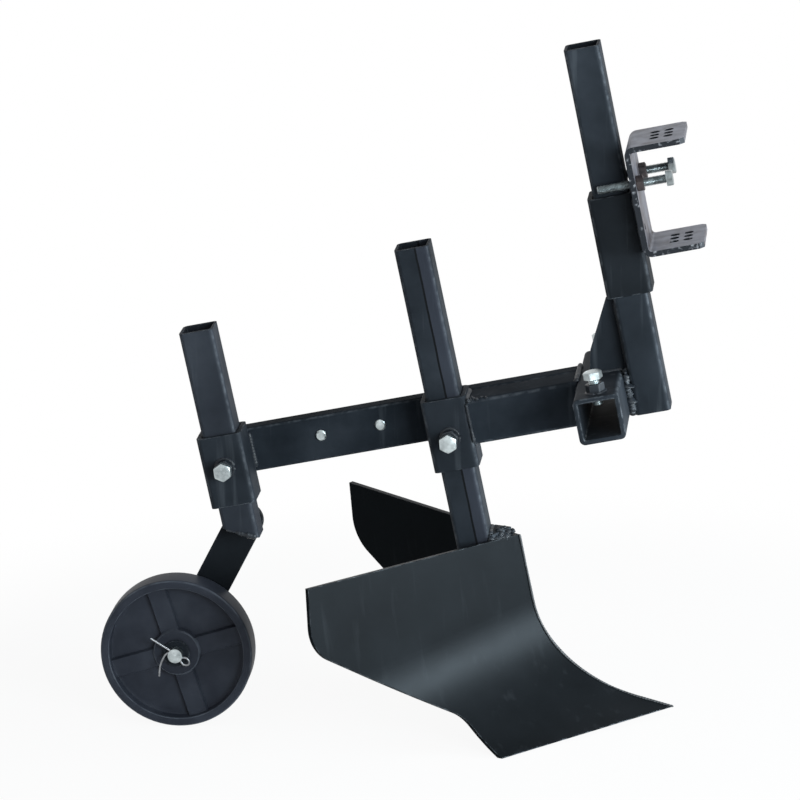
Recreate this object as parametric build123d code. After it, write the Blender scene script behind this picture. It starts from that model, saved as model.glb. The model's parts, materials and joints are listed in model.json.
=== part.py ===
"""Ridging plough attachment with a gauge wheel.

The pieces are modelled level, in the beam's frame: X runs forward along the beam,
Y across the machine and Z along the upright tubes, with the beam's centre line at
Z = 0 and the plough shank at X = 0. The finished machine is then tipped nose up
until its wheel and the lower corners of its wings stand on the floor.
"""

from build123d import *
import math
import os

# Stock: square tube for the uprights, a larger square tube that slides over it
UPRIGHT = 38.0
UPRIGHT_WALL = 3.0
UPRIGHT_CORNER = 5.0
SLEEVE_WALL = 5.0
SLIDE_GAP = 1.0
SLEEVE = UPRIGHT + 2 * (SLEEVE_WALL + SLIDE_GAP)
SLEEVE_CORNER = 6.0

# Beam, a flat tube along the far side of the sleeves
BEAM_HEIGHT = 50.0
BEAM_DEPTH = 25.0
BEAM_WALL = 3.0
BEAM_CORNER = 4.0
BEAM_TAIL = 18.0

# Stations along the beam, from the plough shank at 0
REAR_STATION = -250.0
POST_STATION = 221.0

# Rear and middle sleeves, with the middle one set a little lower
SLEEVE_LENGTH = 80.0
REAR_SLEEVE_TOP = 34.0
REAR_BOLT_DROP = 36.0
REAR_BOLT_STAND = 3.0
MIDDLE_SLEEVE_TOP = 31.0
MIDDLE_BOLT_DROP = 43.0
MIDDLE_BOLT_STAND = 10.0

# Post and the hitch that slides on it
POST_LENGTH = 404.0
HITCH_SLEEVE_LOW = 108.0
HITCH_SLEEVE_LENGTH = 110.0
HITCH_CLAMP_STAND = 3.0
BRACKET_LOW = 150.0
BRACKET_HEIGHT = 120.0
BRACKET_WIDTH = 94.0
BRACKET_REACH = 65.0
BRACKET_PLATE = 6.0
BRACKET_BEND = 4.0
BRACKET_CHAMFER = 5.0
PIN_HOLE = 10.5
PIN_ROW_PITCH = 16.0
PIN_COLUMN_PITCH = 15.0
PIN_END_MARGIN = 18.0
WEB_HOLE = 8.0
WEB_HOLE_HEIGHT = 30.0
WEB_HOLE_SIDE = -30.0
HITCH_BOLT_HEIGHT = 228.0
HITCH_BOLT_SIDE = 32.0
HITCH_BOLT_REACH = 32.0
HITCH_BOLT_TAIL = 36.0

# Cross socket, a sleeve tube across the machine behind the post, with room for weld between them
SOCKET_LENGTH = 210.0
SOCKET_GAP = 5.5
SOCKET_BOLT_INSET = 22.0
SOCKET_BOLT_STAND = 5.0
SOCKET_BOLT_TIP = 9.0

# Gusset plate between socket and post
GUSSET_PLATE = 8.0
GUSSET_HEIGHT = 80.0
GUSSET_FOOT = 42.0
GUSSET_HEAD = 9.0
GUSSET_SHOULDER_OUT = 36.0
GUSSET_SHOULDER_UP = 27.0

# Fasteners
BOLT = 12.0
BOLT_FLATS = 18.0
BOLT_HEAD = 8.0
NUT_HEIGHT = 10.0
SMALL_BOLT = 10.0
SMALL_FLATS = 16.0
SMALL_HEAD = 7.0
SMALL_NUT = 8.0
THREAD_GAP = 0.1
TIP_GAP = 0.3
BEAM_BOLT_REAR = -147.0
BEAM_BOLT_FRONT = -80.0
BEAM_BOLT_HEIGHT = 3.0
BEAM_BOLT_PROUD = 3.0

# Rear leg, wheel arm, axle and wheel
LEG_TOP = 152.0
LEG_FOOT = -80.0
LEG_MITRE = 25.0
ARM_PLATE = 8.0
ARM_WIDTH = 40.0
ARM_PIVOT_HEIGHT = -77.0
WHEEL_STATION = -351.0
WHEEL_HEIGHT = -203.0
WHEEL_RADIUS = 85.0
WHEEL_WIDTH = 34.0
WHEEL_SIDE = -4.0
RIM_LIP = 6.0
RIM_CHAMFER = 4.0
DISC_PLATE = 9.0
SPOKE_WIDTH = 20.0
SPOKE_BITE = 2.0
SPOKE_RISE = 5.0
SPOKE_COUNT = 4
SPOKE_TURN = -6.0
HUB_RADIUS = 26.0
HUB_NEAR = 13.0
HUB_FAR = 22.0
AXLE = 16.0
AXLE_FIT = 0.05
AXLE_PROUD = 9.0
WASHER_RADIUS = 15.0
WASHER_PLATE = 3.0
PIN_WIRE = 3.2

# Plough: shank, nose block and two curved wings that meet on the ridge line
SHANK_TOP = 200.0
SHANK_FOOT = -205.0
WING_SWEEP = 45.0
WING_PLATE = 5.0
RIDGE_TOP = -139.0
RIDGE_SEAT = 4.0
ROLL_UPRIGHT = 76.0
ROLL_RADIUS = 162.0
ROLL_TURN = 55.0
NOSE_RISE = 10.0
WING_REACH = 288.0
WING_RISE = 37.5
WING_FLARE = 13.0
WING_SHOULDER_DROP = 29.5
WING_SHOULDER_ROUND = 42.0
WING_WAIST_OUT = 140.0
WING_WAIST_DROP = 159.5
WING_WAIST_ROUND = 30.0
WING_HEEL_OUT = 133.0
WING_HEEL_DROP = 204.5
WING_TIP_DROP = 224.0


def square_tube(width, depth, wall, corner, length):
    """Straight tube along +Z from the origin, with rounded corners inside and out."""
    outer = RectangleRounded(width, depth, corner)
    inner = RectangleRounded(width - 2 * wall, depth - 2 * wall, max(corner - wall, 0.5))
    return extrude(outer - inner, length)


def hex_prism(flats, height):
    return extrude(RegularPolygon(flats / 2, 6, major_radius=False), height)


def hex_bolt(diameter, flats, head, length):
    """Bolt along -Z, with its head standing on the origin plane."""
    return hex_prism(flats, head) + Pos(0, 0, -length / 2) * Cylinder(diameter / 2, length)


def hex_nut(diameter, flats, height):
    """Nut standing on the origin plane."""
    bore = Pos(0, 0, height / 2) * Cylinder(diameter / 2 + THREAD_GAP, height)
    return hex_prism(flats, height) - bore


def cross_hole(diameter, length):
    """Round cutter along Y, centred on the origin."""
    return Rot(90, 0, 0) * Cylinder(diameter / 2, length)


TO_FRONT = Rot(0, 90, 0)
TO_NEAR = Rot(90, 0, 0)
TO_FAR = Rot(-90, 0, 0)
nodes = {}

bolt_hole = BOLT + 2 * THREAD_GAP
half_sleeve = SLEEVE / 2
half_upright = UPRIGHT / 2
beam_near = half_sleeve
beam_mid = beam_near + BEAM_DEPTH / 2
beam_far = beam_near + BEAM_DEPTH
post_rear = POST_STATION - half_upright
post_foot = -BEAM_HEIGHT / 2
socket_station = post_rear - SOCKET_GAP - half_sleeve
socket_rear = socket_station - half_sleeve


# Sleeves on the beam, each with a welded nut on its near wall and a clamp bolt through both
clamp_length = NUT_HEIGHT + half_sleeve - half_upright - TIP_GAP
sleeve_table = (
    # name, station, top, drop from the top to the bolt, bolt's stand off the nut
    ("rear", REAR_STATION, REAR_SLEEVE_TOP, REAR_BOLT_DROP, REAR_BOLT_STAND),
    ("middle", 0, MIDDLE_SLEEVE_TOP, MIDDLE_BOLT_DROP, MIDDLE_BOLT_STAND),
)
sleeve_nuts = []
for label, station, top, drop, stand in sleeve_table:
    seat = Pos(station, -half_sleeve, top - drop)
    sleeve = square_tube(SLEEVE, SLEEVE, SLEEVE_WALL, SLEEVE_CORNER, SLEEVE_LENGTH)
    sleeve = Pos(station, 0, top - SLEEVE_LENGTH) * sleeve
    nodes[f"{label}_sleeve"] = sleeve - seat * cross_hole(bolt_hole, 2 * SLEEVE_WALL)
    sleeve_nuts.append(seat * TO_NEAR * hex_nut(BOLT, BOLT_FLATS, NUT_HEIGHT))
    bolt = hex_bolt(BOLT, BOLT_FLATS, BOLT_HEAD, clamp_length + stand)
    nodes[f"{label}_clamp_bolt"] = seat * TO_NEAR * Pos(0, 0, NUT_HEIGHT + stand) * bolt
nodes["sleeve_nuts"] = Compound(sleeve_nuts)

# Beam, with its two bolts, and the front tube beside it
beam_rear = REAR_STATION - BEAM_TAIL
beam = square_tube(BEAM_HEIGHT, BEAM_DEPTH, BEAM_WALL, BEAM_CORNER, socket_rear - beam_rear)
beam = Pos(beam_rear, beam_mid, 0) * TO_FRONT * beam
beam_bolts = []
for station in (BEAM_BOLT_REAR, BEAM_BOLT_FRONT):
    beam -= Pos(station, beam_mid, BEAM_BOLT_HEIGHT) * cross_hole(bolt_hole, 2 * BEAM_DEPTH)
    bolt = hex_bolt(BOLT, BOLT_FLATS, BOLT_HEAD, BEAM_DEPTH + BEAM_BOLT_PROUD)
    beam_bolts.append(Pos(station, beam_far, BEAM_BOLT_HEIGHT) * TO_FAR * bolt)
nodes["beam"] = beam
nodes["beam_bolts"] = Compound(beam_bolts)

front_tube = square_tube(BEAM_HEIGHT, SLEEVE, SLEEVE_WALL, SLEEVE_CORNER, socket_rear - half_sleeve)
nodes["front_tube"] = Pos(half_sleeve, 0, 0) * TO_FRONT * front_tube

# Cross socket with a clamp bolt and welded nut near each end
socket = TO_FAR * square_tube(SLEEVE, SLEEVE, SLEEVE_WALL, SLEEVE_CORNER, SOCKET_LENGTH)
socket = Pos(socket_station, -SOCKET_LENGTH / 2, 0) * socket
socket_nuts = []
socket_bolts = []
for side in (-1, 1):
    place = Pos(socket_station, side * (SOCKET_LENGTH / 2 - SOCKET_BOLT_INSET), half_sleeve)
    socket -= place * Cylinder(BOLT / 2 + THREAD_GAP, 2 * SLEEVE_WALL)
    socket_nuts.append(place * hex_nut(BOLT, BOLT_FLATS, NUT_HEIGHT))
    reach = NUT_HEIGHT + SOCKET_BOLT_STAND + SLEEVE_WALL + SOCKET_BOLT_TIP
    bolt = hex_bolt(BOLT, BOLT_FLATS, BOLT_HEAD, reach)
    socket_bolts.append(place * Pos(0, 0, NUT_HEIGHT + SOCKET_BOLT_STAND) * bolt)
nodes["cross_socket"] = socket
nodes["socket_nuts"] = Compound(socket_nuts)
nodes["socket_clamp_bolts"] = Compound(socket_bolts)

# Post and gusset
post = square_tube(UPRIGHT, UPRIGHT, UPRIGHT_WALL, UPRIGHT_CORNER, POST_LENGTH)
nodes["post"] = Pos(POST_STATION, 0, post_foot) * post
gusset_outline = Polyline(
    (post_rear, half_sleeve),
    (post_rear, half_sleeve + GUSSET_HEIGHT),
    (post_rear - GUSSET_HEAD, half_sleeve + GUSSET_HEIGHT),
    (post_rear - GUSSET_SHOULDER_OUT, half_sleeve + GUSSET_SHOULDER_UP),
    (post_rear - GUSSET_FOOT, half_sleeve),
    close=True,
)
gusset = extrude(Plane.XZ * make_face(gusset_outline), GUSSET_PLATE / 2, both=True)
nodes["gusset"] = gusset

# Hitch: sleeve on the post, bent bracket on its front, two stop bolts through the bracket
hitch_sleeve = square_tube(SLEEVE, SLEEVE, SLEEVE_WALL, SLEEVE_CORNER, HITCH_SLEEVE_LENGTH)
hitch_sleeve = Pos(POST_STATION, 0, HITCH_SLEEVE_LOW) * hitch_sleeve
hitch_clamp_height = HITCH_SLEEVE_LOW + HITCH_SLEEVE_LENGTH / 2
hitch_clamp_place = Pos(POST_STATION, half_sleeve, hitch_clamp_height)
hitch_sleeve -= hitch_clamp_place * cross_hole(bolt_hole, 2 * SLEEVE_WALL)
nodes["hitch_sleeve"] = hitch_sleeve
nodes["hitch_clamp_nut"] = hitch_clamp_place * TO_FAR * hex_nut(BOLT, BOLT_FLATS, NUT_HEIGHT)
hitch_clamp_bolt = hex_bolt(BOLT, BOLT_FLATS, BOLT_HEAD, clamp_length + HITCH_CLAMP_STAND)
hitch_clamp_seat = hitch_clamp_place * TO_FAR * Pos(0, 0, NUT_HEIGHT + HITCH_CLAMP_STAND)
nodes["hitch_clamp_bolt"] = hitch_clamp_seat * hitch_clamp_bolt

web_rear = POST_STATION + half_sleeve
web_front = web_rear + BRACKET_PLATE
bracket_mid = BRACKET_LOW + BRACKET_HEIGHT / 2
bracket_tip = web_rear + BRACKET_REACH
channel = Pos(web_rear + BRACKET_REACH / 2, bracket_mid) * Rectangle(BRACKET_REACH, BRACKET_HEIGHT)
rear_corners = channel.vertices().sort_by(Axis.X)[:2]
channel = fillet(rear_corners, BRACKET_BEND + BRACKET_PLATE)
hollow = Pos(web_front + BRACKET_REACH / 2, bracket_mid) * Rectangle(
    BRACKET_REACH, BRACKET_HEIGHT - 2 * BRACKET_PLATE
)
hollow = fillet(hollow.vertices().sort_by(Axis.X)[:2], BRACKET_BEND)
bracket = extrude(Plane.XZ * (channel - hollow), BRACKET_WIDTH / 2, both=True)
tip_edges = bracket.edges().filter_by(Axis.Z).group_by(Axis.X)[-1]
bracket = chamfer(tip_edges, BRACKET_CHAMFER)
pin_columns = (bracket_tip - PIN_END_MARGIN - PIN_COLUMN_PITCH, bracket_tip - PIN_END_MARGIN)
for column in pin_columns:
    for row in (-1, 0, 1):
        pin = Cylinder(PIN_HOLE / 2, 2 * BRACKET_HEIGHT)
        bracket -= Pos(column, row * PIN_ROW_PITCH, bracket_mid) * pin
web_hole = TO_FRONT * Cylinder(WEB_HOLE / 2, 4 * BRACKET_PLATE)
bracket -= Pos(web_front, WEB_HOLE_SIDE, BRACKET_LOW + WEB_HOLE_HEIGHT) * web_hole
hitch_nuts = []
hitch_bolts = []
for side in (-1, 1):
    place = Pos(web_front, side * HITCH_BOLT_SIDE, HITCH_BOLT_HEIGHT) * TO_FRONT
    bracket -= place * Cylinder(SMALL_BOLT / 2 + THREAD_GAP, 4 * BRACKET_PLATE)
    hitch_nuts.append(place * hex_nut(SMALL_BOLT, SMALL_FLATS, SMALL_NUT))
    length = HITCH_BOLT_REACH + BRACKET_PLATE + HITCH_BOLT_TAIL
    bolt = hex_bolt(SMALL_BOLT, SMALL_FLATS, SMALL_HEAD, length)
    hitch_bolts.append(place * Pos(0, 0, HITCH_BOLT_REACH) * bolt)
nodes["hitch_bracket"] = bracket
nodes["hitch_nuts"] = Compound(hitch_nuts)
nodes["hitch_stop_bolts"] = Compound(hitch_bolts)

# Rear leg with the flat arm on its far face
leg = square_tube(UPRIGHT, UPRIGHT, UPRIGHT_WALL, UPRIGHT_CORNER, LEG_TOP - LEG_FOOT + UPRIGHT)
mitre = Pos(0, 0, -UPRIGHT) * Box(4 * UPRIGHT, 2 * UPRIGHT, 2 * UPRIGHT)
leg -= Pos(0, 0, UPRIGHT) * Rot(0, LEG_MITRE, 0) * mitre
nodes["rear_leg"] = Pos(REAR_STATION, 0, LEG_FOOT - UPRIGHT) * leg
arm_run = WHEEL_STATION - REAR_STATION
arm_drop = WHEEL_HEIGHT - ARM_PIVOT_HEIGHT
arm_length = math.hypot(arm_run, arm_drop)
arm_angle = math.degrees(math.atan2(arm_drop, arm_run))
arm_middle = ((WHEEL_STATION + REAR_STATION) / 2, (WHEEL_HEIGHT + ARM_PIVOT_HEIGHT) / 2)
arm_outline = Pos(*arm_middle) * Rot(0, 0, arm_angle) * SlotCenterToCenter(arm_length, ARM_WIDTH)
arm = extrude(Plane.XZ * arm_outline, -ARM_PLATE)
arm = Pos(0, half_upright, 0) * arm
axle_place = Pos(WHEEL_STATION, 0, WHEEL_HEIGHT)
arm -= axle_place * cross_hole(AXLE + 2 * THREAD_GAP, 4 * UPRIGHT)
nodes["wheel_arm"] = arm

# Gauge wheel, turned about Y, with raised spokes on its near and far discs
rim_near = WHEEL_SIDE - WHEEL_WIDTH / 2
rim_far = WHEEL_SIDE + WHEEL_WIDTH / 2
hub_near = WHEEL_SIDE - HUB_NEAR
hub_far = WHEEL_SIDE + HUB_FAR
shoulder = WHEEL_RADIUS - RIM_CHAMFER
rim_inner = shoulder - RIM_LIP
disc_near = WHEEL_SIDE - DISC_PLATE / 2
disc_far = WHEEL_SIDE + DISC_PLATE / 2
bore = AXLE / 2 + AXLE_FIT
half_profile = (
    (bore, hub_near),
    (HUB_RADIUS, hub_near),
    (HUB_RADIUS, disc_near),
    (rim_inner, disc_near),
    (rim_inner, rim_near),
    (shoulder, rim_near),
    (WHEEL_RADIUS, rim_near + RIM_CHAMFER),
    (WHEEL_RADIUS, rim_far - RIM_CHAMFER),
    (shoulder, rim_far),
    (rim_inner, rim_far),
    (rim_inner, disc_far),
    (HUB_RADIUS, disc_far),
    (HUB_RADIUS, hub_far),
    (bore, hub_far),
)
wheel = revolve(make_face(Polyline(*half_profile, close=True)), Axis.Y)
spoke_inner = HUB_RADIUS - SPOKE_BITE
spoke_length = rim_inner + SPOKE_BITE - spoke_inner
for number in range(SPOKE_COUNT):
    turn = Rot(0, SPOKE_TURN + number * 360 / SPOKE_COUNT, 0)
    bar = Box(spoke_length, DISC_PLATE + 2 * SPOKE_RISE, SPOKE_WIDTH)
    wheel += turn * Pos(spoke_inner + spoke_length / 2, WHEEL_SIDE, 0) * bar
nodes["gauge_wheel"] = axle_place * wheel

washer_near = hub_near - AXLE_FIT - WASHER_PLATE
axle_near = washer_near - AXLE_PROUD
arm_far = half_upright + ARM_PLATE
axle = Pos(0, (axle_near + arm_far) / 2, 0) * TO_FAR * Cylinder(AXLE / 2, arm_far - axle_near)
split_place = Pos(0, washer_near - AXLE_PROUD / 2, 0)
axle -= split_place * Cylinder(PIN_WIRE / 2 + THREAD_GAP, 2 * AXLE)
nodes["axle"] = axle_place * axle
washer = Cylinder(WASHER_RADIUS, WASHER_PLATE) - Cylinder(AXLE / 2 + AXLE_FIT, 2 * WASHER_PLATE)
nodes["wheel_washer"] = axle_place * Pos(0, washer_near + WASHER_PLATE / 2, 0) * TO_FAR * washer

# Plough shank
shank = square_tube(UPRIGHT, UPRIGHT, UPRIGHT_WALL, UPRIGHT_CORNER, SHANK_TOP - SHANK_FOOT)
nodes["plough_shank"] = Pos(0, 0, SHANK_FOOT) * shank

# Wings: flat sheet rolled to a radius, with its section square to the sweep. The two meet on the ridge
sweep = math.radians(WING_SWEEP)
roll = math.radians(ROLL_TURN)
seat_front = half_upright + RIDGE_SEAT
ridge_rear = seat_front + half_upright / math.tan(sweep)
ridge_front = ridge_rear + WING_PLATE / math.sin(sweep)
face_front = ridge_front * math.sin(sweep)
roll_start = RIDGE_TOP - ROLL_UPRIGHT
tip_height = RIDGE_TOP - WING_TIP_DROP
roll_end = roll_start - ROLL_RADIUS * math.sin(roll)
tip_front = face_front + ROLL_RADIUS * (1 - math.cos(roll)) + (roll_end - tip_height) * math.tan(roll)


def rolled_line(offset):
    """The sheet's section, moved back from its front face: an upright run, an arc and a straight toe."""
    top = (face_front - offset, RIDGE_TOP + ROLL_UPRIGHT)
    bend = (face_front - offset, roll_start)
    upright = Line(top, bend)
    arc = JernArc(bend, (0, -1), ROLL_RADIUS + offset, ROLL_TURN)
    toe = Line(arc @ 1, arc @ 1 + (arc % 1) * ROLL_RADIUS)
    return upright + arc + toe


def wing_outline():
    """The sheet's outline on the upright plane along the sweep, with its shoulder and waist rounded."""
    ridge = -ridge_front * math.cos(sweep)
    tip = (-tip_front / math.tan(sweep), tip_height)
    rear_top = (ridge + WING_REACH, RIDGE_TOP + WING_RISE)
    shoulder = (ridge + WING_REACH + WING_FLARE, RIDGE_TOP - WING_SHOULDER_DROP)
    waist = (ridge + WING_WAIST_OUT, RIDGE_TOP - WING_WAIST_DROP)
    heel = (ridge + WING_HEEL_OUT, RIDGE_TOP - WING_HEEL_DROP)
    corners = ((tip[0], RIDGE_TOP), (ridge, RIDGE_TOP), rear_top, shoulder, waist, heel, tip)
    face = make_face(Polyline(*corners, close=True))
    for corner, radius in ((shoulder, WING_SHOULDER_ROUND), (waist, WING_WAIST_ROUND)):
        nearest = min(face.vertices(), key=lambda v: math.hypot(v.X - corner[0], v.Y - corner[1]))
        face = fillet([nearest], radius)
    return face


def wing(side):
    """One wing: the rolled sheet, cut to its outline and at the middle plane."""
    along = Vector(-math.cos(sweep), side * math.sin(sweep), 0)
    front = Vector(math.sin(sweep), side * math.cos(sweep), 0)
    outer = rolled_line(0)
    inner = rolled_line(WING_PLATE)
    section = make_face(outer + inner + Line(outer @ 0, inner @ 0) + Line(outer @ 1, inner @ 1))
    across_sweep = Plane(origin=(0, 0, 0), x_dir=front, z_dir=-side * along)
    along_sweep = Plane(origin=(0, 0, 0), x_dir=along, z_dir=along.cross(Vector(0, 0, 1)))
    room = 2 * WING_REACH
    sheet = extrude(across_sweep * section, room, both=True)
    cutter = extrude(along_sweep * wing_outline(), room, both=True)
    half = Pos(0, side * room, 0) * Box(2 * room, 2 * room, 2 * room)
    return sheet & cutter & half


nodes["near_wing"] = wing(-1)
nodes["far_wing"] = wing(1)

nose_outline = Polyline(
    (half_upright, -half_upright),
    (seat_front, -half_upright),
    (ridge_rear, 0),
    (seat_front, half_upright),
    (half_upright, half_upright),
    close=True,
)
nose = extrude(make_face(nose_outline), ROLL_UPRIGHT + NOSE_RISE)
nodes["nose_block"] = Pos(0, 0, roll_start) * nose

# Stand the machine on its wheel and on the lowest points of its wings
standing = 0.0
for point in nodes["near_wing"].vertices():
    run = point.X - WHEEL_STATION
    drop = point.Z - WHEEL_HEIGHT
    standing = max(standing, math.asin(-WHEEL_RADIUS / math.hypot(run, drop)) - math.atan2(drop, run))
tilt = Rot(0, -math.degrees(standing), 0)
whole = Compound([tilt * shape for shape in nodes.values()])
box = whole.bounding_box()
place = Pos(-box.center().X, -box.center().Y, -box.min.Z) * tilt

os.makedirs("parts", exist_ok=True)
for name, shape in nodes.items():
    export_step(place * shape, f"parts/{name}.step")

print(f"pitch {math.degrees(standing):.3f} degrees, size {box.size}")
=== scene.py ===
import bmesh
import bpy
import json
import math
import numpy as np
from mathutils import Matrix


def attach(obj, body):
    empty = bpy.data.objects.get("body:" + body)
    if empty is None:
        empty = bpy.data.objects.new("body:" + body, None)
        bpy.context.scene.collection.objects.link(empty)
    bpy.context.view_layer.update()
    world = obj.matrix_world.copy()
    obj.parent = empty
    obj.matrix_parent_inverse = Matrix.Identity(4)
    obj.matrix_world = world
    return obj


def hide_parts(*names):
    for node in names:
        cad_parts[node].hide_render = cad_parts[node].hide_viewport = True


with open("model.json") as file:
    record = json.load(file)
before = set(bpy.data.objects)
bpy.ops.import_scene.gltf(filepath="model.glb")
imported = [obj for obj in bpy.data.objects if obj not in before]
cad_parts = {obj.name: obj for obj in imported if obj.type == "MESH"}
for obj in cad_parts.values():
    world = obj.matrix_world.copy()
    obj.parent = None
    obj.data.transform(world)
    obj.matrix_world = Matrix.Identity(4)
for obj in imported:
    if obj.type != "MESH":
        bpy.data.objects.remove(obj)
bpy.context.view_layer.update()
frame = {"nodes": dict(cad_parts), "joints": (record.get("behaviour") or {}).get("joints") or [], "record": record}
print("frame loaded, nodes:", len(frame["nodes"]))

# The machine leans back on its wheel. Pieces are worked out level, in mm, as in the CAD source:
# first number forward along the beam, second across to the beam's side, third along the uprights.
joints = {joint["name"]: joint for joint in frame["joints"]}
upAxis = np.array(joints["leg_slide"]["axis"], float)
aheadAxis = np.array([upAxis[2], 0.0, -upAxis[0]])
sideAxis = np.array([0.0, 1.0, 0.0])
wheel = {"station": -351.0, "side": -4.0, "height": -203.0}
axes = np.stack([aheadAxis, sideAxis, upAxis])
wheelLevel = np.array([wheel["station"], wheel["side"], wheel["height"]])
levelStart = np.array(joints["wheel_spin"]["pos_m"], float) - wheelLevel @ axes / 1000


def stand(points):
    # level mm turned onto the three leaning axes, in metres
    return np.asarray(points, float) / 1000 @ axes + levelStart


tube = {"upright": 38.0, "sleeve": 50.0, "beamDepth": 25.0}
stations = {"rear": -250.0, "shank": 0.0, "post": 221.0}
halfSleeve = tube["sleeve"] / 2
halfUpright = tube["upright"] / 2
postRear = stations["post"] - halfUpright
socketGap = 5.5
socketFront = postRear - socketGap
socketStation = socketFront - halfSleeve
socketRear = socketStation - halfSleeve


# Materials: each helper adds nodes to one material and gives back the socket that carries its result


def newMaterial(name):
    material = bpy.data.materials.new(name)
    material.use_nodes = True
    nodes = material.node_tree.nodes
    return material, nodes, material.node_tree.links, nodes["Principled BSDF"]


def noiseOn(nodes, links, coords, scale, detail, stretch=(1.0, 1.0, 1.0), turn=(0.0, 0.0, 0.0)):
    # cloud noise on object coordinates, stretched along an axis where asked
    mapping = nodes.new("ShaderNodeMapping")
    mapping.inputs["Scale"].default_value = stretch
    mapping.inputs["Rotation"].default_value = turn
    noise = nodes.new("ShaderNodeTexNoise")
    noise.inputs["Scale"].default_value = scale
    noise.inputs["Detail"].default_value = detail
    links.new(coords.outputs["Object"], mapping.inputs["Vector"])
    links.new(mapping.outputs["Vector"], noise.inputs["Vector"])
    return noise.outputs["Fac"]


def rampOn(nodes, links, source, places, colours):
    # colour ramp over a grey value, one colour at each place
    ramp = nodes.new("ShaderNodeValToRGB")
    for end in (0, -1):
        ramp.color_ramp.elements[end].position = places[end]
        ramp.color_ramp.elements[end].color = (*colours[end], 1)
    for place, colour in zip(places[1:-1], colours[1:-1]):
        ramp.color_ramp.elements.new(place).color = (*colour, 1)
    links.new(source, ramp.inputs["Fac"])
    return ramp.outputs["Color"]


def greys(*values):
    return [(value,) * 3 for value in values]


def spanOn(nodes, links, source, low, high):
    # a 0 to 1 value spread between two limits
    span = nodes.new("ShaderNodeMapRange")
    span.inputs["To Min"].default_value = low
    span.inputs["To Max"].default_value = high
    links.new(source, span.inputs["Value"])
    return span.outputs["Result"]


def shareOn(nodes, links, source, low, high, most=1.0):
    # 0 up to most as a value goes from low to high, which may lie the other way round
    share = nodes.new("ShaderNodeMapRange")
    share.inputs["From Min"].default_value = low
    share.inputs["From Max"].default_value = high
    share.inputs["To Max"].default_value = most
    links.new(source, share.inputs["Value"])
    return share.outputs["Result"]


def mathOn(nodes, links, operation, first, second=None):
    # one sum on one or two sockets
    step = nodes.new("ShaderNodeMath")
    step.operation = operation
    links.new(first, step.inputs[0])
    if second is not None:
        links.new(second, step.inputs[1])
    return step.outputs["Value"]


def mixColour(nodes, links, amount, first, second):
    # first colour giving way to the second, which is a plain colour or a socket
    mix = nodes.new("ShaderNodeMix")
    mix.data_type = "RGBA"
    links.new(amount, mix.inputs["Factor"])
    links.new(first, mix.inputs["A"])
    if isinstance(second, tuple):
        mix.inputs["B"].default_value = (*second, 1)
    else:
        links.new(second, mix.inputs["B"])
    return mix.outputs["Result"]


def facingOn(nodes, links, coords, axis, low, high, both=False):
    # 0 to 1 as the surface's own normal along one axis goes from low to high, either way round where asked
    parts = nodes.new("ShaderNodeSeparateXYZ")
    links.new(coords.outputs["Normal"], parts.inputs["Vector"])
    along = parts.outputs[axis]
    if both:
        along = mathOn(nodes, links, "ABSOLUTE", along)
    return shareOn(nodes, links, along, low, high)


def bumpOn(nodes, links, source, strength, distance, under=None):
    bump = nodes.new("ShaderNodeBump")
    bump.inputs["Strength"].default_value = strength
    bump.inputs["Distance"].default_value = distance
    links.new(source, bump.inputs["Height"])
    if under is not None:
        links.new(under, bump.inputs["Normal"])
    return bump.outputs["Normal"]


# noise pairs are scale and detail, bump pairs strength and depth in metres
paintGrain = {
    "cloud": (14.0, 6.0), "tones": (0.30, 0.52, 0.74), "streak": (90.0, 3.0), "streakStretch": (1.0, 1.0, 0.07),
    "streakTurn": (0.0, 0.155, 0.0), "streaks": (0.60, 0.78), "bevelLean": (0.985, 0.80), "cornerLean": (0.965, 0.80),
    "patch": (110.0, 8.0), "broken": (0.43, 0.68), "cornerLeast": 0.04, "gloss": (35.0, 5.0), "peel": (900.0, 2.0),
    "peelBump": (0.10, 0.0004), "bevelSamples": 4,
}
# the pale colour of the scuffs is also put on edges and corners, where it is partly painted highlight
tubePaint = {
    "dark": (0.0085, 0.0112, 0.0148), "middle": (0.0165, 0.0205, 0.0262), "light": (0.0290, 0.0345, 0.0425),
    "wornAndLit": (0.180, 0.197, 0.220), "edge": 0.0017, "rough": (0.54, 0.74), "specular": 0.08, "scuff": 0.15,
    "corner": 0.30,
}
# lighter copy of the tube paint: painted light on the rear leg
paintedLightPaint = {
    **tubePaint,
    "dark": (0.0150, 0.0178, 0.0235), "middle": (0.0255, 0.0295, 0.0375), "light": (0.0400, 0.0455, 0.0560),
}
dullPaint = {
    **tubePaint, "specular": 0.012,
    "dark": (0.0095, 0.0125, 0.0164), "middle": (0.0185, 0.0229, 0.0291), "light": (0.0325, 0.0386, 0.0474),
}
# darker copy of the tube paint: painted shade on the wheel arm, which lies in the leg's shade, and on the hitch sleeve
paintedShadePaint = {
    **tubePaint,
    "dark": (0.0045, 0.0060, 0.0080), "middle": (0.0070, 0.0090, 0.0115), "light": (0.0105, 0.0130, 0.0165),
}
wingPaint = {
    **tubePaint, "rough": (0.33, 0.40), "specular": 0.075, "tint": (0.81, 0.905, 1.0), "scuff": 0.03, "corner": 0.0,
    "dark": (0.0030, 0.0038, 0.0047), "middle": (0.0043, 0.0055, 0.0067), "light": (0.0062, 0.0076, 0.0092),
}
# almost glossless copy of the wing paint for the wings' rear faces: painted shade
wingPaintedShadePaint = {
    **wingPaint, "specular": 0.008,
    "dark": (0.0042, 0.0062, 0.0078), "middle": (0.0050, 0.0074, 0.0092), "light": (0.0062, 0.0090, 0.0112),
}
seamPaint = {
    **tubePaint, "seam": 0.0040, "seamHalf": 0.0011, "wander": 0.0005, "drift": (45.0, 4.0), "nearLean": (-0.5, -0.9),
    "seamDark": (0.0030, 0.0036, 0.0046), "beyond": (0.031, 0.034, 0.046), "beyondShare": 0.55,
}
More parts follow.
